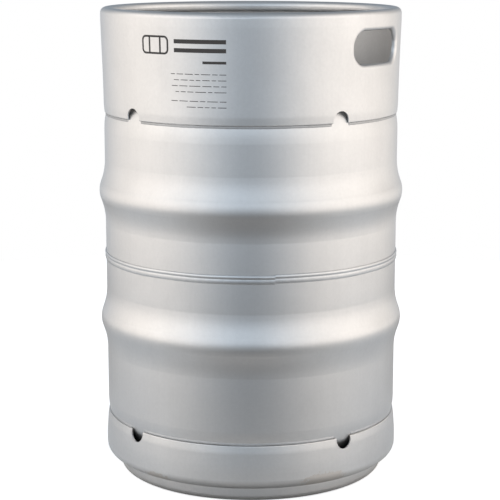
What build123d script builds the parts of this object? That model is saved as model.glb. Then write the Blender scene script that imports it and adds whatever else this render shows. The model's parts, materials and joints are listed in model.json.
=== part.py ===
from build123d import *
import math
import os

# A stainless steel beer keg with its drop-in extractor valve, standing upright on its foot.
# The base rests on z = 0 and the keg's axis is +Z. The front faces -Y. Sizes are in
# millimetres. Angles are in degrees, counted about the axis from the front towards +X.
# Every round piece is a section drawn as (radius, height) and turned about the axis.

# ---- driving dimensions: the pressure vessel ----
total_height = 605.0
shell_radius = 190.0
shell_sheet = 1.5
weld_height = 286.0
weld_root = 2.0            # gap between the two halves, filled by the girth weld
ring_offset = 84.0         # each rolling ring's distance from the girth weld
ring_rise = 9.6
ring_half_width = 26.0
ring_crest_round = 30.0
ring_foot_round = 80.0
top_tangent = 450.0        # height where the wall begins to turn in to the top dome
top_knuckle = 90.0
top_crown = 410.0
bottom_tangent = 93.6
bottom_knuckle = 60.0
bottom_crown = 437.0

# ---- driving dimensions: the chimes ----
chime_sheet = 1.8
chime_play = 0.1           # a chime's edge sits this far outside the turned-in vessel
top_edge = 471.5           # lower edge of the top chime
bottom_edge = 76.8         # upper edge of the bottom chime
rim_radius = 193.0
bead_width = 16.0          # the sheet is curled inwards into a bead this wide
bead_round = 7.0
curl_round = 5.5
curl_depth = 14.5
curl_reach = 10.5
belly_radius = 192.4       # widest part of the bottom chime
fold_height = 20.0         # underside of its shoulder, which rests on the keg below
shoulder_round = 12.0
foot_radius = 174.0        # foot that drops inside the top rim of the keg below

top_notch_angles = [-49.5, 35.1, 130.5, 215.1]
bottom_notch_angles = [-49.6, 37.8, 130.4, 217.8]
notch_width = 23.0
notch_depth = 15.0

hand_angle = 56.0
hand_height = 560.3
hand_width = 97.0
hand_opening = 41.0
hand_corner = 18.5
hand_bend = 5.0            # outer radius of the lip turned inwards around each handhole
hand_lip = 6.0

# ---- driving dimensions: the neck and the extractor valve ----
neck_top = 580.0
neck_bottom = 541.0
neck_flange_radius = 32.0
neck_radius = 30.0
neck_flange_depth = 11.0
neck_lip_radius = 26.0
neck_lip = 4.0
lug_radius = 29.2
lug_depth = 6.0
lug_gate = 20.0            # width of each gate where a coupler's lug drops in
socket_bore = 25.4
guide_depth = 7.5
ring_groove = 1.7
groove_radius = 27.0
ledge_height = 552.0
ledge_radius = 22.4

valve_travel = 6.0
ball_travel = 5.0
cage_radius = 21.6
cage_bore = 20.0
cage_bottom = 516.0
flange_radius = 25.2
seal_ring_section = 1.85
seal_radius = 19.2
seal_hole = 7.2
seal_height = 6.5
seat_lip_radius = 17.6
tube_radius = 8.0
tube_bore = 7.2
tube_clearance = 0.06
ball_radius = 8.0
ball_gap = 0.15
chamber_radius = 9.8
weld_lift = 0.02           # keeps a straight-sided weld just clear of a curved sheet

far = 250.0                # reach of a cutting tool, past every wall

# ---- heights that follow from the dimensions above ----
upper_start = weld_height + weld_root / 2
lower_start = weld_height - weld_root / 2
lip_bottom = neck_top - neck_lip
guide_top = lip_bottom - lug_depth
guide_bottom = guide_top - guide_depth
groove_bottom = guide_bottom - ring_groove
cage_top = groove_bottom - 0.1
seal_top = cage_top - 2.2
carrier_top = seal_top - seal_height
seat_height = carrier_top + 2.0
ball_height = seat_height - math.sqrt(ball_radius**2 - seal_hole**2) - ball_gap

os.makedirs("parts", exist_ok=True)


def crown_centre(tangent, knuckle, crown, up):
    """Height of a dome's crown centre, for a dome whose knuckle starts at the tangent height."""
    drop = math.sqrt((crown - knuckle) ** 2 - (shell_radius - knuckle) ** 2)
    return tangent - up * drop


def knuckle_radius_at(height, tangent, knuckle):
    """Outer radius of a vessel half where it turns in beyond its straight wall."""
    return shell_radius - knuckle + math.sqrt(knuckle**2 - (height - tangent) ** 2)


def vessel_line(start, tangent, knuckle, crown, hole, up):
    """Outer line of one vessel half: straight wall, rolling ring, knuckle and crown.

    It runs from the girth joint to the dome's middle, upwards for up = 1 and downwards for -1.
    """
    ring = weld_height + up * ring_offset
    FilletPolyline(
        (shell_radius, start),
        (shell_radius, ring - up * ring_half_width),
        (shell_radius + ring_rise, ring),
        (shell_radius, ring + up * ring_half_width),
        (shell_radius, tangent),
        radius=[ring_foot_round, ring_crest_round, ring_foot_round],
    )
    centre = crown_centre(tangent, knuckle, crown, up)
    knuckle_inset = shell_radius - knuckle
    turn = math.degrees(math.atan2(abs(tangent - centre), knuckle_inset))
    end = math.degrees(math.acos(hole / crown))
    CenterArc((knuckle_inset, tangent), knuckle, 0, up * turn)
    CenterArc((0, centre), crown, up * turn, up * (end - turn))


def drain_slots(tip, up):
    """A round-ended slot through the front wall, whose tip is the top or bottom of a notch."""
    slot_length = 3 * notch_depth
    with BuildPart() as slot:
        with BuildSketch(Plane.XZ):
            with Locations((0, tip - up * slot_length / 2)):
                SlotOverall(slot_length, notch_width, rotation=90)
        extrude(amount=far)
    return slot.part


def turned_to(angles):
    """A location for each angle, which turns a piece about the axis from the front."""
    return [Location((0, 0, 0), (0, 0, angle)) for angle in angles]


def hand_tool(grow):
    """A rounded bar through both sides of the top chime, larger than the handhole by grow."""
    direction = math.radians(hand_angle)
    outward = (math.sin(direction), -math.cos(direction), 0)
    sideways = (math.cos(direction), math.sin(direction), 0)
    with BuildPart() as bar:
        with BuildSketch(Plane((0, 0, hand_height), x_dir=sideways, z_dir=outward)):
            RectangleRounded(hand_width + 2 * grow, hand_opening + 2 * grow, hand_corner + grow)
        extrude(amount=far, both=True)
    return bar.part


def coil_spring(mean_radius, wire_radius, low, high, turns):
    """A round-wire coil about the axis, between two heights of its wire's centre."""
    with BuildPart() as coil:
        with BuildLine() as path:
            Helix((high - low) / turns, high - low, mean_radius, center=(0, 0, low))
        with BuildSketch(Plane(path.line ^ 0)):
            Circle(wire_radius)
        sweep(is_frenet=True)
    return coil


# ---- the two halves of the pressure vessel ----
neck_hole = neck_radius + 0.3

with BuildPart() as upper_shell:
    with BuildSketch(Plane.XZ):
        with BuildLine():
            vessel_line(upper_start, top_tangent, top_knuckle, top_crown, neck_hole, 1)
            offset(amount=shell_sheet, side=Side.LEFT)
        make_face()
    revolve(axis=Axis.Z)
upper_shell.part.label = "upper_shell"
export_step(upper_shell.part, "parts/upper_shell.step")

with BuildPart() as lower_shell:
    with BuildSketch(Plane.XZ):
        with BuildLine():
            vessel_line(lower_start, bottom_tangent, bottom_knuckle, bottom_crown, 0, -1)
            offset(amount=shell_sheet, side=Side.RIGHT)
        make_face()
    revolve(axis=Axis.Z)
lower_shell.part.label = "lower_shell"
export_step(lower_shell.part, "parts/lower_shell.step")

# ---- the girth weld: a root between the halves, a flat bead and a raised ridge over them ----
bead_half = 5.5
bead_rise = 0.7
ridge_rise = 1.2
root_depth = 1.7

with BuildPart() as girth_weld:
    with BuildSketch(Plane.XZ):
        with BuildLine():
            Polyline(
                (shell_radius, weld_height - bead_half),
                (shell_radius + bead_rise, weld_height - bead_half + bead_rise),
                (shell_radius + bead_rise, weld_height + 0.4),
                (shell_radius + ridge_rise, weld_height + 1.0),
                (shell_radius + ridge_rise, weld_height + bead_half - ridge_rise),
                (shell_radius, weld_height + bead_half),
                (shell_radius, upper_start),
                (shell_radius - root_depth, upper_start),
                (shell_radius - root_depth, lower_start),
                (shell_radius, lower_start),
                close=True,
            )
        make_face()
    revolve(axis=Axis.Z)
girth_weld.part.label = "girth_weld"
export_step(girth_weld.part, "parts/girth_weld.step")

# ---- the top chime: a flared skirt curled into the rim, with handholes and drain notches ----
flare_height = 520.0
flare_radius = 190.8
rim_start = total_height - 17.0
edge_round = 1.2           # rounding of a chime's edge against the vessel
top_bore = knuckle_radius_at(top_edge, top_tangent, top_knuckle) + chime_play
top_slots = drain_slots(top_edge + notch_depth, 1)
top_skirt = [
    (top_bore + chime_sheet, top_edge),
    (190.2, top_edge + 10.0),
    (flare_radius, flare_height),
    (rim_radius, rim_start),
]
top_skirt_rounds = [80.0, 1500.0]
rim_curl = [
    (rim_radius, total_height),
    (rim_radius - bead_width, total_height),
    (rim_radius - bead_width, total_height - curl_depth),
    (rim_radius - bead_width + curl_reach, total_height - curl_depth),
]
rim_curl_rounds = [60.0, bead_round, bead_round, curl_round]


def flare_at(height):
    """Outer radius of the straight upper part of the skirt, around the handholes."""
    slope = (rim_radius - flare_radius) / (rim_start - flare_height)
    return flare_radius + slope * (height - flare_height)


def has_openings(face):
    """True for a face that a handhole pierces."""
    return len(face.inner_wires()) == 2


def opening_edges(face):
    """The edges of a face around its handholes."""
    return [edge for wire in face.inner_wires() for edge in wire.edges()]


with BuildPart() as hand_lips:
    lip_low = hand_height - hand_opening
    lip_high = hand_height + hand_opening
    with BuildSketch(Plane.XZ):
        with BuildLine():
            Polyline(
                (flare_at(lip_low) - hand_lip, lip_low),
                (flare_at(lip_low) - chime_sheet / 2, lip_low),
                (flare_at(lip_high) - chime_sheet / 2, lip_high),
                (flare_at(lip_high) - hand_lip, lip_high),
                close=True,
            )
        make_face()
    revolve(axis=Axis.Z)
    add(hand_tool(chime_sheet), mode=Mode.INTERSECT)

with BuildPart() as top_chime:
    with BuildSketch(Plane.XZ) as top_section:
        with BuildLine():
            FilletPolyline(*top_skirt, *rim_curl, radius=top_skirt_rounds + rim_curl_rounds)
            offset(amount=chime_sheet, side=Side.LEFT)
        make_face()
        fillet(top_section.vertices().group_by(Axis.Y)[0].sort_by(Axis.X)[-1], radius=edge_round)
    revolve(axis=Axis.Z)
    add(hand_lips.part)
    add(hand_tool(0), mode=Mode.SUBTRACT)
    skirt = top_chime.faces().filter_by(GeomType.CONE).filter_by(has_openings)
    inside, outside = skirt.sort_by(lambda face: face.area)
    fillet(opening_edges(inside), radius=hand_bend - chime_sheet)
    skirt = top_chime.faces().filter_by(GeomType.CONE).filter_by(has_openings)
    inside, outside = skirt.sort_by(lambda face: face.area)
    fillet(opening_edges(outside), radius=hand_bend)
    with Locations(*turned_to(top_notch_angles)):
        add(top_slots, mode=Mode.SUBTRACT)
top_chime.part.label = "top_chime"
export_step(top_chime.part, "parts/top_chime.step")

# ---- the bottom chime: a barrel-shaped skirt, a shoulder and a foot that nests in a rim ----
fold_round = 3.5
bottom_bore = knuckle_radius_at(bottom_edge, bottom_tangent, bottom_knuckle) + chime_play
bottom_slots = drain_slots(bottom_edge - notch_depth, -1)
bottom_skirt = [
    (bottom_bore + chime_sheet, bottom_edge),
    (190.95, bottom_edge - 9.5),
    (belly_radius, 47.0),
    (belly_radius, fold_height),
    (foot_radius, fold_height),
]
bottom_skirt_rounds = [60.0, 150.0, shoulder_round]
foot_curl = [
    (foot_radius, 0),
    (foot_radius - bead_width, 0),
    (foot_radius - bead_width, curl_depth),
    (foot_radius - bead_width + curl_reach, curl_depth),
]
foot_curl_rounds = [fold_round, bead_round, bead_round, curl_round]

with BuildPart() as bottom_chime:
    with BuildSketch(Plane.XZ) as bottom_section:
        with BuildLine():
            FilletPolyline(*bottom_skirt, *foot_curl, radius=bottom_skirt_rounds + foot_curl_rounds)
            offset(amount=chime_sheet, side=Side.LEFT)
        make_face()
        fillet(bottom_section.vertices().group_by(Axis.Y)[-1].sort_by(Axis.X)[-1], radius=edge_round)
    revolve(axis=Axis.Z)
    with Locations(*turned_to(bottom_notch_angles)):
        add(bottom_slots, mode=Mode.SUBTRACT)
bottom_chime.part.label = "bottom_chime"
export_step(bottom_chime.part, "parts/bottom_chime.step")

# ---- the welds that hold the chimes on, broken where the drain notches are ----
chime_weld_height = 2.4
chime_weld_width = 0.6     # on the chime's edge, up to the start of its rounding


def chime_weld(edge, tangent, knuckle, slots, angles, up):
    """A fillet weld in the groove between a chime's edge and the turned-in vessel wall."""
    toe = edge - up * chime_weld_height
    edge_radius = knuckle_radius_at(edge, tangent, knuckle)
    toe_radius = knuckle_radius_at(toe, tangent, knuckle)
    with BuildPart() as weld:
        with BuildSketch(Plane.XZ):
            with BuildLine():
                Polyline(
                    (edge_radius + weld_lift, edge),
                    (edge_radius + weld_lift + chime_weld_width, edge),
                    (toe_radius + weld_lift + 0.1, toe),
                    (toe_radius + weld_lift, toe),
                    close=True,
                )
            make_face()
        revolve(axis=Axis.Z)
        with Locations(*turned_to(angles)):
            add(slots, mode=Mode.SUBTRACT)
    return weld


top_chime_weld = chime_weld(top_edge, top_tangent, top_knuckle, top_slots, top_notch_angles, 1)
top_chime_weld.part.label = "top_chime_weld"
export_step(top_chime_weld.part, "parts/top_chime_weld.step")

bottom_chime_weld = chime_weld(
    bottom_edge, bottom_tangent, bottom_knuckle, bottom_slots, bottom_notch_angles, -1
)
bottom_chime_weld.part.label = "bottom_chime_weld"
export_step(bottom_chime_weld.part, "parts/bottom_chime_weld.step")

# ---- the lengthwise seam of each chime's rolled strip: a thin flattened bead on its skin ----
seam_rise = 0.12
seam_width = 2.5
top_seam_angle = -144.0
bottom_seam_angle = -160.0
seam_arc = math.degrees(seam_width / shell_radius)
seam_trim = 2.0            # the seam stops this far short of the chime's rounded edge

with BuildPart() as top_chime_seam:
    with BuildSketch(Plane.XZ.rotated((0, 0, top_seam_angle - 90))):
        with BuildLine():
            FilletPolyline(*top_skirt, radius=top_skirt_rounds)
            offset(amount=seam_rise, side=Side.RIGHT)
        make_face()
        with Locations((shell_radius, top_edge)):
            Rectangle(shell_radius, 2 * seam_trim, mode=Mode.SUBTRACT)
    revolve(axis=Axis.Z, revolution_arc=seam_arc)
    with Locations(*turned_to(top_notch_angles)):
        add(top_slots, mode=Mode.SUBTRACT)
top_chime_seam.part.label = "top_chime_seam"
export_step(top_chime_seam.part, "parts/top_chime_seam.step")

with BuildPart() as bottom_chime_seam:
    with BuildSketch(Plane.XZ.rotated((0, 0, bottom_seam_angle - 90))):
        with BuildLine():
            FilletPolyline(
                *bottom_skirt,
                (foot_radius, bead_round),
                radius=bottom_skirt_rounds + [fold_round],
            )
            offset(amount=seam_rise, side=Side.LEFT)
        make_face()
        with Locations((shell_radius, bottom_edge)):
            Rectangle(shell_radius, 2 * seam_trim, mode=Mode.SUBTRACT)
    revolve(axis=Axis.Z, revolution_arc=seam_arc)
    with Locations(*turned_to(bottom_notch_angles)):
        add(bottom_slots, mode=Mode.SUBTRACT)
bottom_chime_seam.part.label = "bottom_chime_seam"
export_step(bottom_chime_seam.part, "parts/bottom_chime_seam.step")

# ---- the neck: a turned flange with two lug gates, a ring groove and the valve's ledge ----
neck_edge_round = 1.0

with BuildPart() as valve_neck:
    with BuildSketch(Plane.XZ) as neck_section:
        with BuildLine():
            Polyline(
                (neck_lip_radius, neck_top),
                (neck_flange_radius, neck_top),
                (neck_flange_radius, neck_top - neck_flange_depth),
                (neck_radius, neck_top - neck_flange_depth - 2.0),
                (neck_radius, neck_bottom),
                (ledge_radius, neck_bottom),
                (ledge_radius, ledge_height),
                (socket_bore, ledge_height),
                (socket_bore, groove_bottom),
                (groove_radius, groove_bottom),
                (groove_radius, guide_bottom),
                (socket_bore, guide_bottom),
                (socket_bore, guide_top),
                (lug_radius, guide_top),
                (lug_radius, lip_bottom),
                (neck_lip_radius, lip_bottom),
                close=True,
            )
        make_face()
        fillet(neck_section.vertices().group_by(Axis.Y)[-1], radius=neck_edge_round)
    revolve(axis=Axis.Z)
    with BuildSketch(Plane.XY.offset(neck_top)) as gates:
        Rectangle(lug_gate, 2 * lug_radius)
        Circle(neck_lip_radius - 1.0, mode=Mode.SUBTRACT)
        Circle(lug_radius, mode=Mode.INTERSECT)
    extrude(amount=-neck_lip, mode=Mode.SUBTRACT)
valve_neck.part.label = "valve_neck"
export_step(valve_neck.part, "parts/valve_neck.step")

neck_weld_width = 4.5
neck_weld_height = 4.0
top_centre = crown_centre(top_tangent, top_knuckle, top_crown, 1)


def dome_height(radius):
    """Height of the top dome's outer face at a radius within its crown."""
    return top_centre + math.sqrt(top_crown**2 - radius**2)


with BuildPart() as neck_weld:
    with BuildSketch(Plane.XZ):
        with BuildLine():
            Polyline(
                (neck_radius, dome_height(neck_radius) + weld_lift),
                (neck_radius + neck_weld_width, dome_height(neck_radius + neck_weld_width) + weld_lift),
                (neck_radius, dome_height(neck_radius) + neck_weld_height),
                close=True,
            )
        make_face()
    revolve(axis=Axis.Z)
neck_weld.part.label = "neck_weld"
export_step(neck_weld.part, "parts/neck_weld.step")

# ---- the extractor's body: a flange that drops into the neck, and a cage with gas windows ----
cage_count = 4
window_width = 12.0
window_height = 12.0
window_middle = 530.0
lug_slot_middle = 520.0
lug_slot_height = 3.2
lug_slot_width = 6.0
flange_thickness = 4.9

with BuildPart() as valve_body:
    with BuildSketch(Plane.XZ):
        with BuildLine():
            Polyline(
                (seat_lip_radius, cage_top),
                (flange_radius, cage_top),
                (flange_radius, cage_top - flange_thickness),
                (cage_radius, cage_top - flange_thickness),
                (cage_radius, cage_bottom),
                (cage_bore, cage_bottom),
                (cage_bore, seal_top),
                (seat_lip_radius, seal_top),
                close=True,
            )
        make_face()
    revolve(axis=Axis.Z)
    with PolarLocations(cage_radius, cage_count, start_angle=45):
        with Locations((0, 0, window_middle)):
            Box(window_width, window_width, window_height, mode=Mode.SUBTRACT)
    with PolarLocations(cage_radius, cage_count):
        with Locations((0, 0, lug_slot_middle)):
            Box(lug_slot_width, lug_slot_width, lug_slot_height, mode=Mode.SUBTRACT)
valve_body.part.label = "valve_body"
export_step(valve_body.part, "parts/valve_body.step")

# ---- the seal between the extractor and the neck, and the ring that holds the extractor in ----
with BuildPart() as neck_seal:
    with BuildSketch(Plane.XZ):
        with Locations(((cage_radius + socket_bore) / 2, ledge_height + seal_ring_section + 0.05)):
            Circle(seal_ring_section)
    revolve(axis=Axis.Z)
neck_seal.part.label = "neck_seal"
export_step(neck_seal.part, "parts/neck_seal.step")

ring_play = 0.1
ring_inner = 22.4
ring_split = 5.0

with BuildPart() as retaining_ring:
    with BuildSketch(Plane.XY.offset(groove_bottom + ring_play)):
        Circle(groove_radius - 2 * ring_play)
        Circle(ring_inner, mode=Mode.SUBTRACT)
        with Locations((0, groove_radius)):
            Rectangle(ring_split, groove_radius, mode=Mode.SUBTRACT)
    extrude(amount=ring_groove - 2 * ring_play)
retaining_ring.part.label = "retaining_ring"
export_step(retaining_ring.part, "parts/retaining_ring.step")

# ---- the spring cup, held in the cage by four lugs, and the bush that guides the tube ----
cup_radius = 19.9
cup_bore = 18.4
cup_top = 523.0
cup_floor = 500.0
cup_bottom = 497.5
bush_radius = 10.5
bush_collar = 12.5
bush_collar_height = 1.2
bush_bottom = 495.5
cup_window_middle = 509.0
cup_lug = 5.4
cup_lug_height = 2.4

with BuildPart() as spring_cup:
    with BuildSketch(Plane.XZ):
        with BuildLine():
            Polyline(
                (bush_radius, cup_bottom),
                (cup_radius, cup_bottom),
                (cup_radius, cup_top),
                (cup_bore, cup_top),
                (cup_bore, cup_floor),
                (bush_radius, cup_floor),
                close=True,
            )
        make_face()
    revolve(axis=Axis.Z)
    with PolarLocations(cup_radius, cage_count, start_angle=45):
        with Locations((0, 0, cup_window_middle)):
            Box(window_width, window_width, window_height, mode=Mode.SUBTRACT)
    with PolarLocations((cup_bore + cage_radius) / 2, cage_count):
        with Locations((0, 0, lug_slot_middle)):
            Box(cage_radius - cup_bore - 0.4, cup_lug, cup_lug_height)
spring_cup.part.label = "spring_cup"
export_step(spring_cup.part, "parts/spring_cup.step")

with BuildPart() as tube_guide:
    with BuildSketch(Plane.XZ):
        with BuildLine():
            Polyline(
                (tube_radius + tube_clearance, bush_bottom),
                (bush_radius, bush_bottom),
                (bush_radius, cup_floor),
                (bush_collar, cup_floor),
                (bush_collar, cup_floor + bush_collar_height),
                (tube_radius + tube_clearance, cup_floor + bush_collar_height),
                close=True,
            )
        make_face()
    revolve(axis=Axis.Z)
tube_guide.part.label = "tube_guide"
export_step(tube_guide.part, "parts/tube_guide.step")

# ---- the sliding spear: gas seal, its carrier and the down tube to the bottom of the keg ----
carrier_flange = 3.0
carrier_radius = 18.8
hub_radius = 11.4
hub_bottom = 522.0
chamber_floor = 528.5
tube_top = 527.0
tube_end_gap = 6.0         # the tube still clears the bottom dome by this when pushed down
tube_port = 5.0

with BuildPart() as gas_seal:
    with BuildSketch(Plane.XZ):
        with BuildLine():
            Polyline(
                (seal_hole, seal_top),
                (seal_radius, seal_top),
                (seal_radius, carrier_top),
                (chamber_radius, carrier_top),
                (chamber_radius, carrier_top + 1.0),
                (seal_hole, seat_height),
                close=True,
            )
        make_face()
    revolve(axis=Axis.Z)
gas_seal.part.label = "gas_seal"
export_step(gas_seal.part, "parts/gas_seal.step")

with BuildPart() as seal_carrier:
    with BuildSketch(Plane.XZ):
        with BuildLine():
            Polyline(
                (chamber_radius, carrier_top),
                (carrier_radius, carrier_top),
                (carrier_radius, carrier_top - carrier_flange),
                (hub_radius, carrier_top - carrier_flange),
                (hub_radius, hub_bottom),
                (tube_radius, hub_bottom),
                (tube_radius, tube_top),
                (tube_bore, tube_top),
                (tube_bore, chamber_floor),
                (chamber_radius, chamber_floor),
                close=True,
            )
        make_face()
    revolve(axis=Axis.Z)
seal_carrier.part.label = "seal_carrier"
export_step(seal_carrier.part, "parts/seal_carrier.step")

dome_inside = (
    crown_centre(bottom_tangent, bottom_knuckle, bottom_crown, -1) - bottom_crown + shell_sheet
)
tube_bottom = dome_inside + valve_travel + tube_end_gap

with BuildPart() as down_tube:
    with BuildSketch(Plane.XY.offset(tube_bottom)):
        Circle(tube_radius)
        Circle(tube_bore, mode=Mode.SUBTRACT)
    extrude(amount=tube_top - tube_bottom)
    with Locations((0, 0, tube_bottom)):
        Box(3 * tube_radius, tube_port, tube_port, mode=Mode.SUBTRACT)
down_tube.part.label = "down_tube"
export_step(down_tube.part, "parts/down_tube.step")

# ---- the two springs, the ball and the perforated disc that the ball's spring stands on ----
spring_wire = 1.0
spring_radius = 15.5
spring_turns = 7
spring_play = 0.05
ball_wire = 0.4
ball_spring_radius = 5.5
ball_spring_turns = 5
disc_thickness = 1.0
disc_port = 2.0

main_spring = coil_spring(
    spring_radius,
    spring_wire,
    cup_floor + spring_wire + spring_play,
    carrier_top - carrier_flange - spring_wire - spring_play,
    spring_turns,
)
main_spring.part.label = "main_spring"
export_step(main_spring.part, "parts/main_spring.step")

with BuildPart() as ball_spring_seat:
    with BuildSketch(Plane.XY.offset(chamber_floor)):
        Circle(chamber_radius - 0.1)
        Circle(ball_spring_radius - 2 * ball_wire, mode=Mode.SUBTRACT)
        with PolarLocations(ball_spring_radius + disc_port, cage_count):
            Circle(disc_port / 2, mode=Mode.SUBTRACT)
    extrude(amount=disc_thickness)
ball_spring_seat.part.label = "ball_spring_seat"
export_step(ball_spring_seat.part, "parts/ball_spring_seat.step")

with BuildPart() as beer_ball:
    with Locations((0, 0, ball_height)):
        Sphere(ball_radius)
beer_ball.part.label = "beer_ball"
export_step(beer_ball.part, "parts/beer_ball.step")

ball_reach = ball_radius + ball_wire + spring_play
coil_top = ball_height - math.sqrt(ball_reach**2 - ball_spring_radius**2)

ball_spring = coil_spring(
    ball_spring_radius,
    ball_wire,
    chamber_floor + disc_thickness + ball_wire + spring_play,
    coil_top,
    ball_spring_turns,
)
ball_spring.part.label = "ball_spring"
export_step(ball_spring.part, "parts/ball_spring.step")
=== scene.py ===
# %% [markdown]
# # A stainless steel beer keg
#
# This lesson dresses a CAD model of a beer keg in Blender. The CAD model fixes every size:
# two deep-drawn halves welded around the middle, a chime at each end, and the extractor
# valve in the neck. Blender adds what a drawing leaves out: blasted steel, rippled weld
# beads, printed marks and the light of a plain studio.

# %% Load the keg
import json
import math
import random

import bmesh
import bpy
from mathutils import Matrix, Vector
from mathutils.bvhtree import BVHTree


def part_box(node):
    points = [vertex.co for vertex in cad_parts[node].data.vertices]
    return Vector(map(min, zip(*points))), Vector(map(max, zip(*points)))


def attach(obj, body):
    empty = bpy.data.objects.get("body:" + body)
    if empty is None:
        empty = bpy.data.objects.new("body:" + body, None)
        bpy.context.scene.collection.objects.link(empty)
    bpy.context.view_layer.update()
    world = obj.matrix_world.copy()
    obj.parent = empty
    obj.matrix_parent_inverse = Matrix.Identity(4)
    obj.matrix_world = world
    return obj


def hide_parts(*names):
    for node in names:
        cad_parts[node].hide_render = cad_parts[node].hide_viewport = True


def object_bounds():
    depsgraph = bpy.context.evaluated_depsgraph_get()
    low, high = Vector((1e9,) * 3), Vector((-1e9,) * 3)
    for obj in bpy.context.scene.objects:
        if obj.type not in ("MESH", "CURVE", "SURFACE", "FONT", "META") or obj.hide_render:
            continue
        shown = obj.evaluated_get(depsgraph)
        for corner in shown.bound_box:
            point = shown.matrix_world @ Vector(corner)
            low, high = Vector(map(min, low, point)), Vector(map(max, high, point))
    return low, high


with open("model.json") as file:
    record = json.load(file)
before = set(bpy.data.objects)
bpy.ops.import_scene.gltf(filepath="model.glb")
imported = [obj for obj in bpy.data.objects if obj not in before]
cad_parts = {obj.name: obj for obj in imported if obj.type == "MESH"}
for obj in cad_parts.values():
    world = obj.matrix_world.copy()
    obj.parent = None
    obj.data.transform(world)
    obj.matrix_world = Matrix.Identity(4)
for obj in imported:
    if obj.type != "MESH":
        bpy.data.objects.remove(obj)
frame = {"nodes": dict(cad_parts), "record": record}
cad_low, cad_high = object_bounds()
print("CAD box", [round(v, 4) for v in cad_low], [round(v, 4) for v in cad_high])

# %% [markdown]
# ## Sizes that the looks need
#
# The heights of the welds and of the chimes' edges come from the boxes of the CAD nodes. The
# step from the weld to a ring, the allowance for a ring's rise and the places in the printed
# mark are given as numbers, so they are changed here if the keg is made taller or wider. The
# allowance is a little less than the rings' true rise, so the girth bead stands slightly proud.

# %% Read the sizes
mm = 0.001
ring_allowance = 7.0 * mm
print_height = 0.56


def low_of(node):
    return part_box(node)[0]


def high_of(node):
    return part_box(node)[1]


keg_height = cad_high.z
shell_radius = high_of("upper_shell").x - ring_allowance
weld_low = low_of("girth_weld").z
weld_high = high_of("girth_weld").z
weld_middle = (weld_low + weld_high) / 2
top_edge = low_of("top_chime").z
bottom_edge = high_of("bottom_chime").z
ring_step = 84.0 * mm
print("girth weld from", round(weld_low, 4), "to", round(weld_high, 4))
print("top chime starts at", round(top_edge, 4), "bottom chime ends at", round(bottom_edge, 4))

# %% [markdown]
# ## The camera
#
# The camera stands well back from the keg and has a long lens, so that the keg's sides stay
# nearly parallel. It is a little over two metres away, slightly above the rim, and
# looks down by about eleven degrees, which shows the far side of the rim as a thin ellipse.

# %% Place the camera
lens_length = 116.2
camera_distance = 2.0933
camera_height = 0.6903
camera_pitch = 10.92

camera_data = bpy.data.cameras.new("studio_camera")
camera_data.lens = lens_length
camera_data.sensor_width = 36.0
camera_data.shift_x = -0.0018
camera_data.clip_start = 0.05
camera_data.clip_end = 50.0
camera = bpy.data.objects.new("studio_camera", camera_data)
bpy.context.scene.collection.objects.link(camera)
camera.location = (0.0, -camera_distance, camera_height)
camera.rotation_euler = (math.radians(90.0 - camera_pitch), 0.0, 0.0)
bpy.context.scene.camera = camera
print("camera at", tuple(round(v, 3) for v in camera.location))

# %% [markdown]
# ## Node helpers
#
# Materials are wired in code. These helpers place a node, set its plain values, and join
# sockets, so that each recipe below stays short enough to read.


# %% Make the node helpers
def put(tree, kind, x, y, **settings):
    """Adds a node at a place on the sheet and sets its own properties."""
    node = tree.nodes.new(kind)
    node.location = (x, y)
    for key, value in settings.items():
        setattr(node, key, value)
    return node


def calculate(tree, operation, x, y, first, second=None, third=None, clamp=False):
    """A Math node. Each input is a socket to join or a plain number."""
    node = put(tree, "ShaderNodeMath", x, y, operation=operation, use_clamp=clamp)
    for index, value in enumerate((first, second, third)):
        if value is None:
            continue
        if isinstance(value, (int, float)):
            node.inputs[index].default_value = value
        else:
            tree.links.new(value, node.inputs[index])
    return node.outputs[0]


def rescale(tree, x, y, value, low, high, new_low, new_high, smooth=False):
    """A Map Range node from one span to another."""
    node = put(tree, "ShaderNodeMapRange", x, y)
    node.interpolation_type = "SMOOTHSTEP" if smooth else "LINEAR"
    tree.links.new(value, node.inputs["Value"])
    spans = (("From Min", low), ("From Max", high), ("To Min", new_low), ("To Max", new_high))
    for socket, number in spans:
        if isinstance(number, (int, float)):
            node.inputs[socket].default_value = number
        else:
            tree.links.new(number, node.inputs[socket])
    return node.outputs["Result"]


def stretch(tree, x, y, vector, scale):
    """Multiplies a vector by (x, y, z) factors, to draw a texture out along an axis."""
    node = put(tree, "ShaderNodeVectorMath", x, y, operation="MULTIPLY")
    tree.links.new(vector, node.inputs[0])
    node.inputs[1].default_value = scale
    return node.outputs[0]


def speckle(tree, x, y, vector, scale, detail=2.0, roughness=0.5):
    """A Noise texture's value. The scale is in features per metre, or a socket."""
    node = put(tree, "ShaderNodeTexNoise", x, y)
    tree.links.new(vector, node.inputs["Vector"])
    if isinstance(scale, (int, float)):
        node.inputs["Scale"].default_value = scale
    else:
        tree.links.new(scale, node.inputs["Scale"])
    node.inputs["Detail"].default_value = detail
    node.inputs["Roughness"].default_value = roughness
    return node.outputs["Fac"]


def new_group(name, inputs, outputs):
    """A shader node group with named number sockets, and its two end nodes."""
    tree = bpy.data.node_groups.new(name, "ShaderNodeTree")
    for label, value in inputs:
        socket = tree.interface.new_socket(label, in_out="INPUT", socket_type="NodeSocketFloat")
        socket.default_value = value
    for label in outputs:
        tree.interface.new_socket(label, in_out="OUTPUT", socket_type="NodeSocketFloat")
    start = put(tree, "NodeGroupInput", -900, 0)
    end = put(tree, "NodeGroupOutput", 900, 0)
    return tree, start, end


def use_group(tree, group, x, y, **values):
    """Places a group in a material with its own values."""
    node = put(tree, "ShaderNodeGroup", x, y)
    node.node_tree = group
    for key, value in values.items():
        node.inputs[key.replace("_", " ")].default_value = value
    return node


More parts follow.
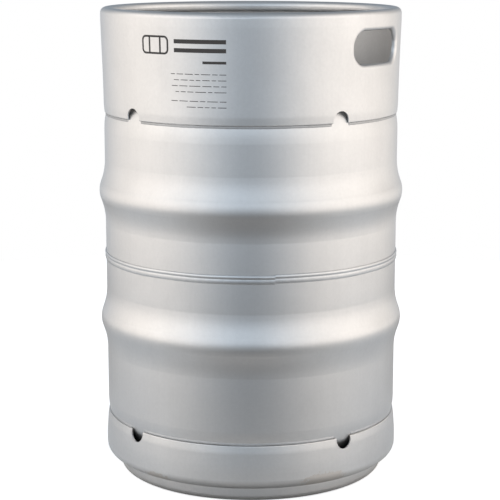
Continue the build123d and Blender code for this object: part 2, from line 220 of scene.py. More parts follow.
# %% [markdown]
# ## The room
#
# Satin steel shows a blurred picture of whatever is around it, so the room matters more than
# the lamps. In a product studio, white walls stand left and right, the camera side is left
# dimmer, and the ceiling throws a cool light from above. This room is drawn as a smooth
# function of direction. It makes the bright bands at the sides of the keg and the grey band
# down its middle, with no hot spots. The camera itself sees only white paper behind the keg.

# %% Light the room
bpy.context.scene.view_settings.view_transform = "Standard"
room_dim = 0.31
room_side = 1.28
room_turned = -0.235
room_right = 0.07
room_above = 0.66
room_above_aside = -0.42
room_above_left = -0.12
room = bpy.data.worlds.new("room")
bpy.context.scene.world = room
room.use_nodes = True
room_tree = room.node_tree
room_tree.nodes.clear()
room_way = put(room_tree, "ShaderNodeTexCoord", -1500, 0).outputs["Generated"]
room_split = put(room_tree, "ShaderNodeSeparateXYZ", -1300, 0)
room_tree.links.new(room_way, room_split.inputs[0])
way_x, way_y, way_z = room_split.outputs
aside = calculate(room_tree, "ABSOLUTE", -1100, 200, way_x)
fade = calculate(room_tree, "MULTIPLY_ADD", -1100, 0, way_y, room_turned, 1.0)
walls = calculate(room_tree, "MULTIPLY", -1000, 200, aside, fade)
walls = calculate(room_tree, "MULTIPLY_ADD", -900, 200, walls, room_side, room_dim)
walls = calculate(room_tree, "MULTIPLY_ADD", -700, 200, way_x, room_right, walls)
below = rescale(room_tree, -900, -100, way_z, -0.7, -0.1, 0.7, 1.0)
ceiling = rescale(room_tree, -900, -350, way_z, 0.4, 0.85, 1.0, 0.42, smooth=True)
walls = calculate(room_tree, "MULTIPLY", -500, 100, walls, below)
above = rescale(room_tree, -900, -600, way_z, 0.0, 0.32, 0.0, 1.0, smooth=True)
above_glow = calculate(
    room_tree, "MULTIPLY_ADD", -700, -500, aside, room_above_aside, room_above
)
above_glow = calculate(
    room_tree, "MULTIPLY_ADD", -600, -700, way_x, room_above_left, above_glow
)
above = calculate(room_tree, "MULTIPLY", -500, -500, above, above_glow)
room_light = calculate(room_tree, "ADD", -300, 100, walls, above)
behind = rescale(room_tree, -700, -900, way_y, 0.0, 0.8, 0.0, 0.55, smooth=True)
behind_high = rescale(room_tree, -700, -1100, way_z, 0.0, 0.25, 0.0, 1.0, smooth=True)
behind = calculate(room_tree, "MULTIPLY", -500, -900, behind, behind_high)
behind = calculate(room_tree, "SUBTRACT", -350, -900, 1.0, behind)
room_light = calculate(room_tree, "MULTIPLY", -220, 100, room_light, behind)
room_light = calculate(room_tree, "MULTIPLY", -150, 100, room_light, ceiling)
room_tint = put(room_tree, "ShaderNodeMix", -300, 350, data_type="RGBA")
room_tint.inputs["A"].default_value = (0.68, 0.83, 1.0, 1.0)
room_tint.inputs["B"].default_value = (1.0, 0.965, 0.935, 1.0)
cool_side = calculate(room_tree, "ADD", -900, 450, way_x, 0.07)
cool_side = calculate(room_tree, "ABSOLUTE", -700, 450, cool_side)
warmth = rescale(room_tree, -500, 450, cool_side, 0.05, 0.95, 0.0, 1.0, smooth=True)
room_tree.links.new(warmth, room_tint.inputs["Factor"])
room_grey = put(room_tree, "ShaderNodeBackground", -50, 200)
room_tree.links.new(room_tint.outputs["Result"], room_grey.inputs["Color"])
room_tree.links.new(room_light, room_grey.inputs["Strength"])
room_paper = put(room_tree, "ShaderNodeBackground", -50, 0)
room_paper.inputs["Color"].default_value = (1.0, 1.0, 1.0, 1.0)
room_rays = put(room_tree, "ShaderNodeLightPath", -50, 500)
room_mix = put(room_tree, "ShaderNodeMixShader", 200, 100)
room_output = put(room_tree, "ShaderNodeOutputWorld", 400, 100)
room_tree.links.new(room_rays.outputs["Is Camera Ray"], room_mix.inputs["Fac"])
room_tree.links.new(room_grey.outputs["Background"], room_mix.inputs[1])
room_tree.links.new(room_paper.outputs["Background"], room_mix.inputs[2])
room_tree.links.new(room_mix.outputs["Shader"], room_output.inputs["Surface"])
print("room set, its sides", round(1 + room_side / room_dim, 1), "times as bright as its front")

# %% [markdown]
# ## Blasted grain
#
# After welding, a keg is pickled in acid and blasted with glass beads. Under a lens the
# surface is a field of tiny pits a third of a millimetre across. From a step away they blur
# the reflections evenly. Two noises do this: one at the size of a pit, and one of a few
# millimetres, because the blasting is never quite even.

# %% Group: blasted grain
blasted, blasted_in, blasted_out = new_group(
    "blasted_grain",
    [("Pits per metre", 2600.0), ("Unevenness", 0.5)],
    ["Height", "Tone"],
)
place = put(blasted, "ShaderNodeTexCoord", -700, 200).outputs["Object"]
pits = speckle(blasted, -450, 250, place, blasted_in.outputs["Pits per metre"], 3.0, 0.65)
clouds = speckle(blasted, -450, 0, place, 260.0, 3.0, 0.6)
drifts = speckle(blasted, -450, -250, place, 22.0, 2.0, 0.5)
mottle = calculate(blasted, "ADD", -200, -50, clouds, drifts)
mottle = calculate(blasted, "SUBTRACT", 0, -50, mottle, 1.0)
mottle = calculate(blasted, "MULTIPLY", 200, -50, mottle, blasted_in.outputs["Unevenness"])
blasted.links.new(pits, blasted_out.inputs["Height"])
blasted.links.new(mottle, blasted_out.inputs["Tone"])
print("group", blasted.name, "made")

# %% [markdown]
# ## Drawing lines
#
# The deep-drawing die pulls the sheet up the wall and leaves very faint upright lines that
# the blasting doesn't quite hide. The noise is squeezed along the height, so each feature
# is long and thin. It is taken from the place in space, not from an unrolled angle, so it
# has no seam at the back.

# %% Group: drawing lines
drawn, drawn_in, drawn_out = new_group(
    "drawing_lines",
    [("Lines per metre", 420.0)],
    ["Height", "Tone"],
)
place = put(drawn, "ShaderNodeTexCoord", -900, 200).outputs["Object"]
upright = stretch(drawn, -700, 200, place, (1.0, 1.0, 0.02))
fine_lines = speckle(drawn, -450, 250, upright, drawn_in.outputs["Lines per metre"], 3.0, 0.6)
broad_lines = speckle(drawn, -450, 0, upright, 60.0, 2.0, 0.5)
line_tone = calculate(drawn, "ADD", -200, 100, fine_lines, broad_lines)
line_tone = calculate(drawn, "SUBTRACT", 0, 100, line_tone, 1.0)
drawn.links.new(fine_lines, drawn_out.inputs["Height"])
drawn.links.new(line_tone, drawn_out.inputs["Tone"])
print("group", drawn.name, "made")

# %% [markdown]
# ## Rub marks
#
# Kegs roll on their rings and knock against each other in stacks. The touch leaves short
# level scuffs that are a little smoother than the blasted steel around them. The mask is a
# band around one height, broken up by noise that is drawn out around the barrel.

# %% Group: rub marks
rubbed, rubbed_in, rubbed_out = new_group(
    "rub_marks",
    [("Height", 0.3), ("Reach", 0.01), ("Amount", 0.5)],
    ["Mask"],
)
place = put(rubbed, "ShaderNodeTexCoord", -900, 200).outputs["Object"]
split = put(rubbed, "ShaderNodeSeparateXYZ", -700, 300)
rubbed.links.new(place, split.inputs[0])
away = calculate(rubbed, "SUBTRACT", -500, 300, split.outputs["Z"], rubbed_in.outputs["Height"])
away = calculate(rubbed, "ABSOLUTE", -350, 300, away)
away = calculate(rubbed, "DIVIDE", -200, 300, away, rubbed_in.outputs["Reach"])
band = rescale(rubbed, 0, 300, away, 0.0, 1.0, 1.0, 0.0, smooth=True)
level = stretch(rubbed, -700, 0, place, (0.12, 0.12, 1.0))
scuffs = speckle(rubbed, -450, 0, level, 900.0, 3.0, 0.6)
patches = speckle(rubbed, -450, -250, place, 14.0, 2.0, 0.6)
scuffs = rescale(rubbed, -200, 0, scuffs, 0.48, 0.66, 0.0, 1.0)
patches = rescale(rubbed, -200, -250, patches, 0.35, 0.65, 0.0, 1.0)
marks = calculate(rubbed, "MULTIPLY", 200, 0, scuffs, patches)
marks = calculate(rubbed, "MULTIPLY", 400, 100, marks, band)
marks = calculate(rubbed, "MULTIPLY", 600, 100, marks, rubbed_in.outputs["Amount"])
rubbed.links.new(marks, rubbed_out.inputs["Mask"])
print("group", rubbed.name, "made")

# %% [markdown]
# ## The scuffed patch
#
# Low on the bottom chime, where kegs are tipped onto their edge to be rolled, the blasted
# skin is scraped in a ragged patch. The mask falls off with the distance from one point and
# is broken up by noise, so its edge is ragged. Inside, the steel is a little darker, rougher
# and faintly brown from cellar dirt that stays in the scratches.

# %% Group: scuffed patch
scuffed, scuffed_in, scuffed_out = new_group(
    "scuffed_patch",
    [("X", 0.0), ("Y", 0.0), ("Z", 0.0), ("Reach", 0.03)],
    ["Mask"],
)
place = put(scuffed, "ShaderNodeTexCoord", -900, 200).outputs["Object"]
centre = put(scuffed, "ShaderNodeCombineXYZ", -700, 0)
for axis in ("X", "Y", "Z"):
    scuffed.links.new(scuffed_in.outputs[axis], centre.inputs[axis])
offset = put(scuffed, "ShaderNodeVectorMath", -500, 100, operation="SUBTRACT")
scuffed.links.new(place, offset.inputs[0])
scuffed.links.new(centre.outputs[0], offset.inputs[1])
flat = stretch(scuffed, -350, 100, offset.outputs[0], (1.0, 1.0, 3.2))
distance = put(scuffed, "ShaderNodeVectorMath", -200, 100, operation="LENGTH")
scuffed.links.new(flat, distance.inputs[0])
ragged = speckle(scuffed, -350, -200, place, 260.0, 4.0, 0.65)
ragged = rescale(scuffed, -200, -200, ragged, 0.3, 0.7, 0.6, 1.4)
span = calculate(scuffed, "MULTIPLY", 0, -100, ragged, scuffed_in.outputs["Reach"])
share = calculate(scuffed, "DIVIDE", 200, 0, distance.outputs["Value"], span)
patch = rescale(scuffed, 400, 0, share, 0.75, 1.0, 1.0, 0.0, smooth=True)
scuffed.links.new(patch, scuffed_out.inputs["Mask"])
print("group", scuffed.name, "made")

# %% [markdown]
# ## Satin steel
#
# The recipe for all the sheet parts: a metal whose colour and roughness drift slightly with
# the blasting, fine upright lines, and rub marks where the part stands proud. The fixed
# numbers, such as the metallic value, are set on the shader itself.


# %% Recipe: satin steel
def satin_steel(name, colour, roughness, pits, unevenness, lines, rubs, bump=0.06, scuffs=()):
    """Blasted stainless steel.

    rubs is a list of (height, reach, amount) bands, scuffs a list of (point, reach) patches.
    """
    material = bpy.data.materials.new(name)
    material.use_nodes = True
    tree = material.node_tree
    shader = tree.nodes["Principled BSDF"]
    shader.inputs["Metallic"].default_value = 1.0
    grain = use_group(tree, blasted, -1100, 200, Pits_per_metre=pits, Unevenness=unevenness)
    drawing = use_group(tree, drawn, -1100, -100)
    tone = calculate(tree, "MULTIPLY", -850, 50, drawing.outputs["Tone"], lines)
    tone = calculate(tree, "ADD", -700, 150, tone, grain.outputs["Tone"])
    rub_total = None
    for index, (height, reach, amount) in enumerate(rubs):
        rub = use_group(
            tree, rubbed, -1100, -400 - 220 * index, Height=height, Reach=reach, Amount=amount
        )
        mask = rub.outputs["Mask"]
        if rub_total is None:
            rub_total = mask
        else:
            rub_total = calculate(tree, "MAXIMUM", -850, -400 - 220 * index, rub_total, mask)
    ramp = put(tree, "ShaderNodeMix", -400, 250, data_type="RGBA")
    ramp.inputs["A"].default_value = (*[c * 0.93 for c in colour], 1.0)
    ramp.inputs["B"].default_value = (*[min(1.0, c * 1.05) for c in colour], 1.0)
    blend_amount = rescale(tree, -550, 250, tone, -0.35, 0.35, 0.0, 1.0)
    tree.links.new(blend_amount, ramp.inputs["Factor"])
    skin = ramp.outputs["Result"]
    rough = rescale(tree, -550, 0, tone, -0.35, 0.35, roughness + 0.03, roughness - 0.03)
    if rub_total is not None:
        smoother = calculate(tree, "MULTIPLY", -550, -250, rub_total, 0.12)
        rough = calculate(tree, "SUBTRACT", -350, -100, rough, smoother)
    for point, reach in scuffs:
        scuff = use_group(tree, scuffed, -1100, 600, X=point.x, Y=point.y, Z=point.z, Reach=reach)
        worn = put(tree, "ShaderNodeMix", -100, 400, data_type="RGBA")
        tree.links.new(scuff.outputs["Mask"], worn.inputs["Factor"])
        tree.links.new(skin, worn.inputs["A"])
        worn.inputs["B"].default_value = (*[c * s for c, s in zip(colour, (0.9, 0.86, 0.82))], 1.0)
        skin = worn.outputs["Result"]
        rough = calculate(tree, "MULTIPLY_ADD", -100, 0, scuff.outputs["Mask"], 0.08, rough)
    tree.links.new(skin, shader.inputs["Base Color"])
    tree.links.new(rough, shader.inputs["Roughness"])
    relief = put(tree, "ShaderNodeBump", -250, -300)
    relief.inputs["Strength"].default_value = bump
    relief.inputs["Distance"].default_value = 0.2 * mm
    tree.links.new(grain.outputs["Height"], relief.inputs["Height"])
    tree.links.new(relief.outputs["Normal"], shader.inputs["Normal"])
    return material


shell_steel = satin_steel(
    "shell_steel",
    colour=(0.67, 0.652, 0.632),
    roughness=0.42,
    pits=2600.0,
    unevenness=0.5,
    lines=0.22,
    rubs=[
        (weld_middle + ring_step, 9 * mm, 0.8),
        (weld_middle - ring_step, 9 * mm, 0.8),
    ],
)
chime_steel = satin_steel(
    "chime_steel",
    colour=(0.67, 0.652, 0.632),
    roughness=0.42,
    pits=2600.0,
    unevenness=0.6,
    lines=0.2,
    rubs=[(keg_height, 9 * mm, 0.9), (0.0, 12 * mm, 1.0), (24 * mm, 8 * mm, 0.8)],
    scuffs=[
        (Vector((92 * mm, -169 * mm, 27 * mm)), 34 * mm),
        (Vector((-120 * mm, -150 * mm, 24 * mm)), 22 * mm),
        (Vector((60 * mm, 182 * mm, 26 * mm)), 28 * mm),
    ],
)
print("made", shell_steel.name, "and", chime_steel.name)

# %% [markdown]
# ## Turned, drawn and moulded parts
#
# The neck and the valve parts are turned on a lathe and stay brighter than the blasted
# sheet. Springs and the ball are smoother still. The seals are matt black rubber, and the
# guide bush is a milky plastic.

# %% Make the smaller materials
turned_steel = satin_steel(
    "turned_steel", (0.68, 0.675, 0.665), 0.26, 1500.0, 0.4, 0.1, [], bump=0.03
)
weld_steel = satin_steel(
    "weld_steel", (0.62, 0.612, 0.6), 0.38, 1500.0, 0.9, 0.0, [], bump=0.1
)
seam_steel = satin_steel(
    "seam_steel", (0.64, 0.625, 0.605), 0.40, 1500.0, 0.7, 0.0, [], bump=0.08
)
wire_steel = satin_steel("wire_steel", (0.55, 0.55, 0.55), 0.24, 2500.0, 0.4, 0.0, [], bump=0.02)
ball_steel = satin_steel("ball_steel", (0.74, 0.74, 0.74), 0.09, 900.0, 0.3, 0.0, [], bump=0.01)


def moulded(name, dark, light, roughness, grain_scale):
    """A moulded rubber or plastic with a fine skin texture."""
    material = bpy.data.materials.new(name)
    material.use_nodes = True
    tree = material.node_tree
    shader = tree.nodes["Principled BSDF"]
    grain = use_group(tree, blasted, -900, 0, Pits_per_metre=grain_scale, Unevenness=0.8)
    mix = put(tree, "ShaderNodeMix", -400, 200, data_type="RGBA")
    mix.inputs["A"].default_value = (*dark, 1.0)
    mix.inputs["B"].default_value = (*light, 1.0)
    amount = rescale(tree, -600, 200, grain.outputs["Tone"], -0.3, 0.3, 0.0, 1.0)
    tree.links.new(amount, mix.inputs["Factor"])
    tree.links.new(mix.outputs["Result"], shader.inputs["Base Color"])
    rough = rescale(
        tree, -600, -50, grain.outputs["Height"], 0.2, 0.8, roughness - 0.06, roughness + 0.06
    )
    tree.links.new(rough, shader.inputs["Roughness"])
    relief = put(tree, "ShaderNodeBump", -300, -300)
    relief.inputs["Strength"].default_value = 0.15
    relief.inputs["Distance"].default_value = 0.1 * mm
    tree.links.new(grain.outputs["Height"], relief.inputs["Height"])
    tree.links.new(relief.outputs["Normal"], shader.inputs["Normal"])
    return material


seal_rubber = moulded("seal_rubber", (0.012, 0.012, 0.013), (0.03, 0.03, 0.032), 0.55, 1800.0)
bush_plastic = moulded("bush_plastic", (0.70, 0.68, 0.62), (0.80, 0.78, 0.72), 0.42, 1200.0)
print("made the small materials")

# %% Put the materials on the CAD nodes
finishes = {
    "shell_steel": shell_steel,
    "chime_steel": chime_steel,
    "weld_steel": weld_steel,
    "neck_steel": turned_steel,
    "valve_steel": turned_steel,
    "ring_steel": wire_steel,
    "spring_steel": wire_steel,
    "tube_steel": turned_steel,
    "ball_steel": ball_steel,
    "seal_rubber": seal_rubber,
    "bush_plastic": bush_plastic,
}
dressed_seams = ("top_chime_seam", "bottom_chime_seam")
for part in frame["record"]["subparts"]:
    node = frame["nodes"][part["node"]]
    finish = finishes[part["material_slot"]]
    if part["node"] in dressed_seams:
        finish = seam_steel
    for material_slot in node.material_slots:
        material_slot.material = finish
print("dressed", len(frame["nodes"]), "nodes")

# %% [markdown]
# ## Reading the skin
#
# Marks and beads have to lie on the steel, which flares and bulges a little. A ray shot
# inwards from outside the keg finds the skin of a CAD node at any angle and height.
# Angles are counted in degrees from the front, rising to the right.

# %% Make the skin reader
def on_barrel(angle, radius, height):
    """A point at an angle from the front, a radius and a height."""
    turn = math.radians(angle)
    return Vector((radius * math.sin(turn), -radius * math.cos(turn), height))


def skin_tree(node_name):
    """A ray-casting tree of one CAD node, in metres."""
    node = frame["nodes"][node_name]
    skin = bmesh.new()
    skin.from_mesh(node.data)
    skin.transform(node.matrix_world)
    tree = BVHTree.FromBMesh(skin)
    skin.free()
    return tree


def skin_radius(tree, angle, height):
    """The outer radius of the skin at an angle and height."""
    start = on_barrel(angle, 0.3, height)
    inwards = on_barrel(angle, -1.0, 0.0)
    hit = tree.ray_cast(start, inwards)[0]
    return math.hypot(hit.x, hit.y)


def finish_piece(name, mesh_build, material, smooth=True):
    """Turns a bmesh into a piece of the keg body, with its material."""
    mesh = bpy.data.meshes.new(name)
    mesh_build.to_mesh(mesh)
    mesh_build.free()
    for face in mesh.polygons:
        face.use_smooth = smooth
    piece = bpy.data.objects.new(name, mesh)
    bpy.context.scene.collection.objects.link(piece)
    piece.data.materials.append(material)
    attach(piece, "keg")
    return piece


chime_skin = skin_tree("top_chime")
print("chime radius at the print", round(skin_radius(chime_skin, -25.0, print_height), 5))

# %% [markdown]
# ## The printed mark
#
# A keg's owner prints or etches a mark on the top chime, with the data lines under it. The
# mark here is a plain one: a small keg lying on its side, two bars, and rows of dashes where
# the data lines stand. Each stroke is a thin strip of ink wrapped onto the chime. It is built
# flat, in metres along and up, and bent round the barrel point by point.

# %% Recipe: printing ink
ink = bpy.data.materials.new("print_ink")
ink.use_nodes = True
ink_tree = ink.node_tree
ink_shader = ink_tree.nodes["Principled BSDF"]
ink_shader.inputs["Specular IOR Level"].default_value = 0.3
ink_place = put(ink_tree, "ShaderNodeTexCoord", -900, 0).outputs["Object"]
ink_grain = speckle(ink_tree, -700, 0, ink_place, 1800.0, 3.0, 0.6)
ink_mix = put(ink_tree, "ShaderNodeMix", -300, 100, data_type="RGBA")
ink_mix.inputs["A"].default_value = (0.030, 0.026, 0.024, 1.0)
ink_mix.inputs["B"].default_value = (0.085, 0.076, 0.070, 1.0)
ink_tree.links.new(ink_grain, ink_mix.inputs["Factor"])
ink_tree.links.new(ink_mix.outputs["Result"], ink_shader.inputs["Base Color"])
ink_rough = rescale(ink_tree, -300, -100, ink_grain, 0.2, 0.8, 0.5, 0.65)
ink_tree.links.new(ink_rough, ink_shader.inputs["Roughness"])
print("made", ink.name)

# %% Print the mark
ink_lift = 0.12 * mm
print_right = -8.7
print_radius = skin_radius(chime_skin, print_right, print_height)
mark_build = bmesh.new()


def bend(along, up):
    """Bends a flat point onto the chime. along is negative to the left of the print's edge."""
    angle = print_right + math.degrees(along / print_radius)
    return on_barrel(angle, skin_radius(chime_skin, angle, up) + ink_lift, up)


def draw_stroke(path, width, closed=False):
    """A strip of even width along a flat path of (along, up) points."""
    fine = []
    ends = path[1:] + (path[:1] if closed else [])
    for (a0, u0), (a1, u1) in zip(path, ends):
        steps = max(1, round(math.hypot(a1 - a0, u1 - u0) / (1.5 * mm)))
        for step in range(steps):
            part = step / steps
            fine.append((a0 + (a1 - a0) * part, u0 + (u1 - u0) * part))
    if not closed:
        fine.append(path[-1])
    rows = []
    for index, (along, up) in enumerate(fine):
        if closed:
            before = fine[index - 1]
            after = fine[(index + 1) % len(fine)]
        else:
            before = fine[max(0, index - 1)]
            after = fine[min(len(fine) - 1, index + 1)]
        run = math.hypot(after[0] - before[0], after[1] - before[1])
        side = ((before[1] - after[1]) / run * width / 2, (after[0] - before[0]) / run * width / 2)
        rows.append([
            mark_build.verts.new(bend(along + side[0], up + side[1])),
            mark_build.verts.new(bend(along - side[0], up - side[1])),
        ])
    pairs = list(zip(rows, rows[1:] + (rows[:1] if closed else [])))
    for first, second in pairs if closed else pairs[: len(rows) - 1]:
        mark_build.faces.new((first[0], second[0], second[1], first[1]))


def rounded_box(left, low, right, high, corner):
    """The outline of a box with round corners, as a flat path."""
    centres = [
        (right - corner, high - corner, 0),
        (left + corner, high - corner, 90),
        (left + corner, low + corner, 180),
        (right - corner, low + corner, 270),
    ]
    path = []
    for along, up, start in centres:
        for turn in range(start, start + 91, 15):
            way = math.radians(turn)
            path.append((along + corner * math.cos(way), up + corner * math.sin(way)))
    return path


def draw_bar(right, middle, length, width):
    """A level bar, from its right end."""
    draw_stroke([(right - length, middle), (right, middle)], width)


keg_line = 2.4 * mm
draw_stroke(rounded_box(-113 * mm, 556 * mm, -75 * mm, 576 * mm, 5 * mm), keg_line, closed=True)
for ring_place in (-102 * mm, -86 * mm):
    draw_stroke([(ring_place, 556 * mm), (ring_place, 576 * mm)], keg_line)
draw_bar(0.0, 571 * mm, 66 * mm, 5 * mm)
draw_bar(0.0, 560.5 * mm, 66 * mm, 5 * mm)
draw_bar(0.0, 546.5 * mm, 29 * mm, 3.2 * mm)
word_source = random.Random(7)
data_rows = [
    (532.5, 75),
    (525.5, 67),
    (518.5, 70),
    (511.5, 65),
    (500.5, 72),
    (493.5, 54),
]
for row_height, row_length in data_rows:
    written = 0.0
    while written < row_length - 4:
        word = min(word_source.uniform(5, 15), row_length - written)
        draw_bar(-written * mm, row_height * mm, word * mm, 0.8 * mm)
        written += word + 2.4
print_mark = finish_piece("print_mark", mark_build, ink)
print("print mark of", len(print_mark.data.polygons), "faces")

# %% [markdown]
# ## The girth weld
#
# The halves are joined by one turn of a welding lathe. It leaves a bead of small crescent
# ripples, a raised upper lip where the halves were clamped, and a small step where the end
# of the weld overlaps its start. The bead is drawn as a section, and the section is swept
# round while its height follows the ripples. It stands in for the plain CAD ring.

# %% Sweep a rippled bead
def sweep_bead(name, section, base, arcs, ripple, pitch, jog=None, material=weld_steel):
    """Sweeps a bead round the keg.

    section is a list of (height, rise, ripple share). base(height) gives the radius of the
    steel under it. arcs are (start, end) angles. jog is (angle, shift, reach) or None.
    """
    build = bmesh.new()
    wander = random.Random(len(name))
    phases = [wander.uniform(0.0, math.tau) for _ in range(4)]
    low = section[0][0]
    high = section[-1][0]
    inner = 0.8 * mm
    for start, end in arcs:
        whole = end - start >= 360.0
        count = round((end - start) * 5)
        rings = []
        for index in range(count + (0 if whole else 1)):
            angle = start + (end - start) * index / count
            travel = math.radians(angle) * shell_radius
            turn = math.radians(angle)
            sway = 0.12 * mm * (math.sin(5 * turn + phases[0]) + math.sin(13 * turn + phases[1]))
            shift = sway
            if jog:
                past = (angle - jog[0]) % 360.0
                shift += jog[1] * math.exp(-past / jog[2])
            taper = 1.0
            if not whole:
                taper = min(1.0, (min(angle - start, end - angle) + 0.2) / 0.8)
            ring = []
            for height, rise, share in section:
                across = (2 * height - low - high) / (high - low)
                crest = math.sin(math.tau * travel / pitch + 2.2 * across**2 + phases[2])
                swell = 0.5 * math.sin(math.tau * travel / (7.3 * pitch) + phases[3])
                lift = rise * taper + share * ripple * (crest + swell) * taper
                radius = base(height) + lift
                ring.append(build.verts.new(on_barrel(angle, radius, height + shift)))
            ring.append(build.verts.new(on_barrel(angle, base(high) - inner, high + shift)))
            ring.append(build.verts.new(on_barrel(angle, base(low) - inner, low + shift)))
            rings.append(ring)
        joins = list(zip(rings, rings[1:]))
        if whole:
            joins.append((rings[-1], rings[0]))
        for first, second in joins:
            for index in range(len(first)):
                after = (index + 1) % len(first)
                build.faces.new((first[index], second[index], second[after], first[after]))
        if not whole:
            build.faces.new(rings[0])
            build.faces.new(list(reversed(rings[-1])))
    bmesh.ops.recalc_face_normals(build, faces=build.faces)
    return finish_piece(name, build, material)


wall_radius = shell_radius
girth_section = [
    (weld_low, 0.0, 0.0),
    (weld_low + 0.5 * mm, 0.35 * mm, 0.3),
    (weld_low + 1.4 * mm, 0.55 * mm, 1.0),
    (weld_low + 2.4 * mm, 0.62 * mm, 1.0),
    (weld_low + 3.5 * mm, 0.66 * mm, 1.0),
    (weld_low + 4.6 * mm, 0.60 * mm, 1.0),
    (weld_low + 5.6 * mm, 0.42 * mm, 0.5),
    (weld_low + 6.1 * mm, 0.28 * mm, 0.0),
    (weld_low + 6.7 * mm, 0.55 * mm, 0.0),
    (weld_low + 7.5 * mm, 0.85 * mm, 0.2),
    (weld_low + 8.4 * mm, 1.0 * mm, 0.2),
    (weld_low + 9.3 * mm, 0.85 * mm, 0.1),
    (weld_low + 10.2 * mm, 0.5 * mm, 0.0),
    (weld_high, 0.0, 0.0),
]
girth_bead = sweep_bead(
    "girth_bead",
    girth_section,
    lambda height: wall_radius - 0.05 * mm,
    [(0.0, 360.0)],
    ripple=0.1 * mm,
    pitch=1.8 * mm,
    jog=(9.0, 1.2 * mm, 30.0),
)
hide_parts("girth_weld")
print("girth bead of", len(girth_bead.data.polygons), "faces")

# %% [markdown]
# ## The chime welds
#
# Each chime slips over the turned-in end of the vessel, and a fillet weld fills the groove
# below its edge. This weld is rougher than the skin, and its colour is darkened as painted
# shade for the recess under the chime's edge. It stops at the four drain notches, where water
# has to run out.

# %% Weld the chimes on
# Painted shade: both bead colours are darker than weld_steel, the top groove's most, for the shade
# under each chime's edge.
groove_steel = satin_steel(
    "groove_steel", (0.47, 0.46, 0.45), 0.5, 1500.0, 0.9, 0.0, [], bump=0.12
)
fill_steel = satin_steel("fill_steel", (0.58, 0.57, 0.56), 0.44, 1500.0, 0.9, 0.0, [], bump=0.12)
notch_reach = 3.9
top_notches = [-49.5, 35.1, 130.5, 215.1]
bottom_notches = [-49.6, 37.8, 130.4, 217.8]


def arcs_between(notches):
    """The arcs of a weld that is broken at each notch."""
    ends = notches[1:] + [notches[0] + 360.0]
    return [(a + notch_reach, b - notch_reach) for a, b in zip(notches, ends)]


def chime_bead(node_name, shell_name, edge, notches, up, material):
    """A rippled fillet weld on the shell, in the groove by a chime's edge."""
    shell_skin = skin_tree(shell_name)
    steps = [(3.3, 0.0, 0.0), (2.8, 0.2, 0.5), (2.0, 0.45, 1.0), (1.1, 0.7, 1.0), (0.3, 0.9, 0.4)]
    section = [(edge - up * away * mm, rise * mm, share) for away, rise, share in steps]
    if up < 0:
        section.reverse()
    radii = {height: skin_radius(shell_skin, 3.0, height) for height, _, _ in section}
    bead = sweep_bead(
        node_name.replace("weld", "bead"),
        section,
        lambda height: radii[height] - 0.05 * mm,
        arcs_between(notches),
        ripple=0.08 * mm,
        pitch=1.6 * mm,
        material=material,
    )
    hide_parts(node_name)
    return bead


top_bead = chime_bead("top_chime_weld", "upper_shell", top_edge, top_notches, 1, groove_steel)
bottom_bead = chime_bead(
    "bottom_chime_weld", "lower_shell", bottom_edge, bottom_notches, -1, fill_steel
)
print("chime beads of", len(top_bead.data.polygons) + len(bottom_bead.data.polygons), "faces")

# %% [markdown]
# ## The floor
#
# A round table top of plain pale paper. To the camera it burns out to white, except for the
# soft shadow where the foot touches. In reflections its tone is painted light and shade: grey
# in front where no lamp stands, bright at the sides, lighter a little way out from the foot and
# darker right under it. That makes the lower half of the steel darker than the top.

# %% Lay the floor
floor_radius = 1.45
floor_mesh = bpy.data.meshes.new("floor")
floor_build = bmesh.new()
bmesh.ops.create_circle(floor_build, cap_ends=True, segments=96, radius=floor_radius)
floor_build.to_mesh(floor_mesh)
floor_build.free()
floor = bpy.data.objects.new("floor", floor_mesh)
bpy.context.scene.collection.objects.link(floor)
paper = bpy.data.materials.new("paper")
paper.use_nodes = True
paper_tree = paper.node_tree
paper_shader = paper_tree.nodes["Principled BSDF"]
paper_shader.inputs["Roughness"].default_value = 0.9
paper_shader.inputs["Specular IOR Level"].default_value = 0.1
paper_shader.inputs["Emission Color"].default_value = (1.0, 1.0, 1.0, 1.0)
paper_place = put(paper_tree, "ShaderNodeTexCoord", -1100, 0).outputs["Object"]
paper_fibres = speckle(paper_tree, -900, 0, paper_place, 90.0, 4.0, 0.6)
paper_rays = put(paper_tree, "ShaderNodeLightPath", -900, 400)
paper_split = put(paper_tree, "ShaderNodeSeparateXYZ", -900, -200)
paper_tree.links.new(paper_place, paper_split.inputs[0])
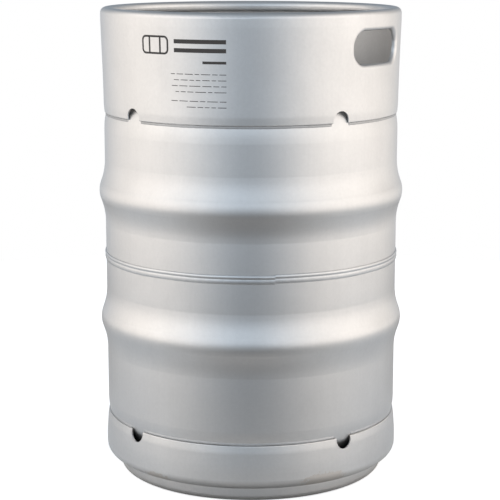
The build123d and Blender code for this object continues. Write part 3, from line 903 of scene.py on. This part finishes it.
paper_far = put(paper_tree, "ShaderNodeVectorMath", -900, -450, operation="LENGTH")
paper_tree.links.new(paper_place, paper_far.inputs[0])
paper_reach = paper_far.outputs["Value"]
paper_aside = calculate(
    paper_tree, "DIVIDE", -700, -200, paper_split.outputs["X"], paper_reach
)
paper_aside = calculate(paper_tree, "MULTIPLY", -600, -200, paper_aside, paper_aside)
# Painted shade and light, seen only in reflections: grey in front and behind, greyer further out,
# and bright towards the sides.
paper_front = rescale(
    paper_tree, -700, -650, paper_reach, 0.6, 0.9, 0.29, 0.14, smooth=True
)
paper_dim = rescale(paper_tree, -500, -200, paper_aside, 0.0, 0.95, paper_front, 1.1)
# Painted light, seen only in reflections: the paper a little way out from the foot is lighter.
paper_near = rescale(
    paper_tree, -700, -450, paper_reach, 0.18, 0.5, 0.5, -0.03, smooth=True
)
paper_dim = calculate(paper_tree, "ADD", -300, -300, paper_dim, paper_near)
# Painted shadow, seen only in reflections: the paper under and right by the foot is darker.
paper_touch = rescale(paper_tree, -500, -450, paper_reach, 0.16, 0.28, 0.45, 1.0, smooth=True)
paper_dim = calculate(paper_tree, "MULTIPLY", -200, -300, paper_dim, paper_touch)
paper_lit = rescale(paper_tree, -700, 200, paper_fibres, 0.3, 0.7, 0.90, 0.94)
paper_tone = put(paper_tree, "ShaderNodeMix", -400, 100, data_type="FLOAT")
paper_tree.links.new(paper_rays.outputs["Is Camera Ray"], paper_tone.inputs["Factor"])
paper_tree.links.new(paper_dim, paper_tone.inputs["A"])
paper_tree.links.new(paper_lit, paper_tone.inputs["B"])
paper_colour = put(paper_tree, "ShaderNodeCombineColor", -250, 100)
for channel, share in (("Red", 1.0), ("Green", 0.985), ("Blue", 0.965)):
    paper_channel = calculate(
        paper_tree, "MULTIPLY", -300, 100, paper_tone.outputs["Result"], share, clamp=True
    )
    paper_tree.links.new(paper_channel, paper_colour.inputs[channel])
paper_tree.links.new(paper_colour.outputs["Color"], paper_shader.inputs["Base Color"])
paper_burn = calculate(
    paper_tree, "MULTIPLY", -400, 400, paper_rays.outputs["Is Camera Ray"], 0.62
)
paper_tree.links.new(paper_burn, paper_shader.inputs["Emission Strength"])
floor.data.materials.append(paper)
print("floor", 2 * floor_radius, "m across")
